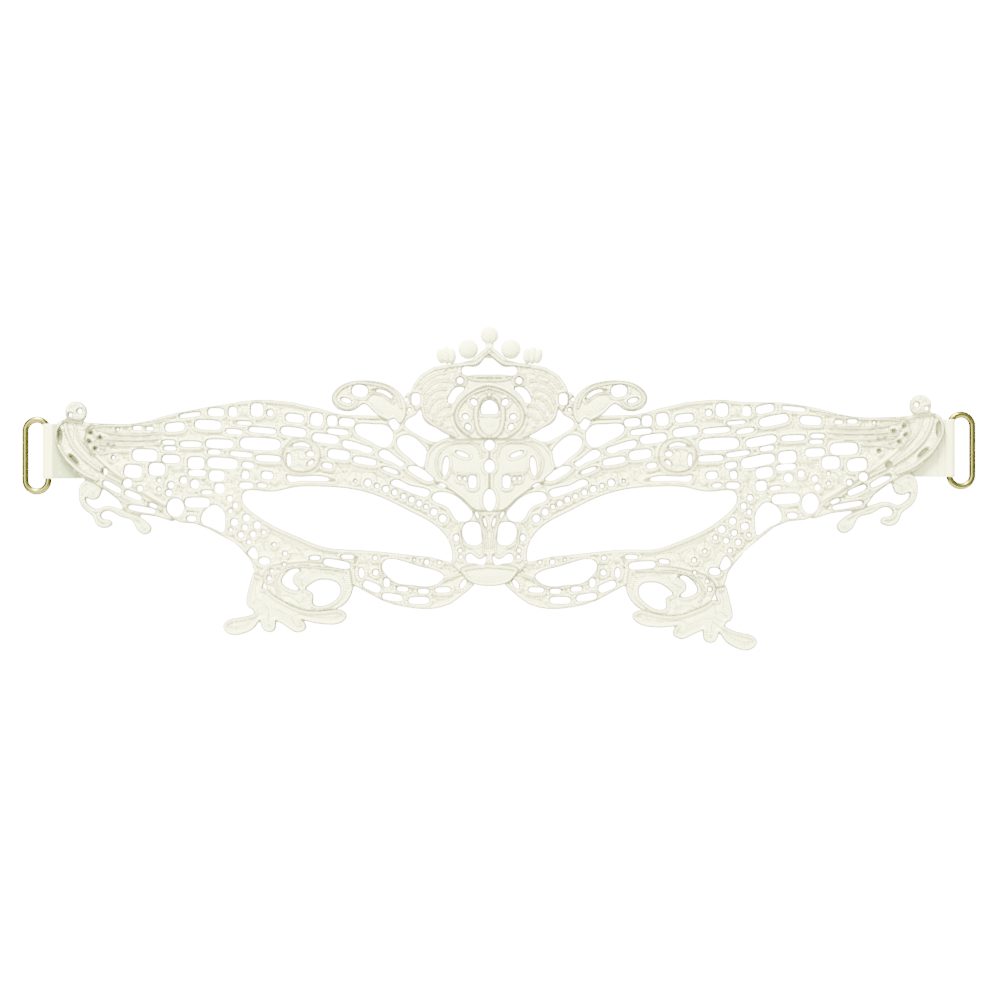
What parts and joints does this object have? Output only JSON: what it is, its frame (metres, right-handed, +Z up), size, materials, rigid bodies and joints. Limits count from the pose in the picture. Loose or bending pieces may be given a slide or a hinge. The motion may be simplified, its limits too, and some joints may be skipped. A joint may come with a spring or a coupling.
{
  "type": "venetian masquerade mask",
  "caption": "Stiffened openwork lace half mask with scrolled crown, almond eye openings, drooping cheek sprays, folding side wings and a fabric tab with a slotted wire ring at each end.",
  "frame": {"origin": "on the back face of the lace at the middle of the nose stem, level with the inner corners of the eye openings", "axes": "+X to the viewer's right as the mask is seen from the front, +Y from the front of the mask towards the wearer's face, +Z up"},
  "size_m": [0.2923, 0.0052, 0.099],
  "materials": {
    "satin_lace": "raised satin stitch, stiffened",
    "netted_lace": "corded openwork ground, stiffened",
    "strap_tab": "fine plain weave, matte",
    "sewing_thread": "twisted thread",
    "ring_wire": "polished, slightly tarnished"
  },
  "bodies": {
    "face_panel": {"nose_saddle": "satin_lace", "nose_stem": "netted_lace", "crown_medallion": "satin_lace", "crown_shield": "satin_lace", "crown_beads": "satin_lace", "heart_scroll_left": "satin_lace", "heart_scroll_right": "satin_lace", "brow_curl_left": "satin_lace", "brow_rosette_left": "satin_lace", "brow_band_left": "netted_lace", "lower_rim_left": "netted_lace", "under_eye_loop_left": "netted_lace", "cheek_scroll_left": "satin_lace", "cheek_net_left": "netted_lace", "cheek_leaves_left": "satin_lace", "brow_curl_right": "satin_lace", "brow_rosette_right": "satin_lace", "brow_band_right": "netted_lace", "lower_rim_right": "netted_lace", "under_eye_loop_right": "netted_lace", "cheek_scroll_right": "satin_lace", "cheek_net_right": "netted_lace", "cheek_leaves_right": "satin_lace"},
    "left_wing": {"wing_panel_left": "netted_lace", "wing_edge_left": "satin_lace", "wing_curl_left": "satin_lace", "tip_sprig_left": "satin_lace", "tab_left": "strap_tab", "tab_seam_left": "sewing_thread"},
    "right_wing": {"wing_panel_right": "netted_lace", "wing_edge_right": "satin_lace", "wing_curl_right": "satin_lace", "tip_sprig_right": "satin_lace", "tab_right": "strap_tab", "tab_seam_right": "sewing_thread"},
    "left_ring": {"ring_left": "ring_wire"},
    "right_ring": {"ring_right": "ring_wire"}
  },
  "joints": [
    {"name": "left_wing_fold", "type": "hinge", "parent": "face_panel", "child": "left_wing", "pos_m": [-0.0775, 0, 0.02], "axis": [0, 0, -1], "range_deg": [0, 75]},
    {"name": "right_wing_fold", "type": "hinge", "parent": "face_panel", "child": "right_wing", "pos_m": [0.0775, 0, 0.02], "axis": [0, 0, 1], "range_deg": [0, 75]},
    {"name": "left_ring_swing", "type": "hinge", "parent": "left_wing", "child": "left_ring", "pos_m": [-0.1353, 0.00158, 0.0283], "axis": [0, 0, -1], "range_deg": [-95, 95]},
    {"name": "right_ring_swing", "type": "hinge", "parent": "right_wing", "child": "right_ring", "pos_m": [0.141, 0.00158, 0.0299], "axis": [0, 0, 1], "range_deg": [-95, 95]}
  ]
}
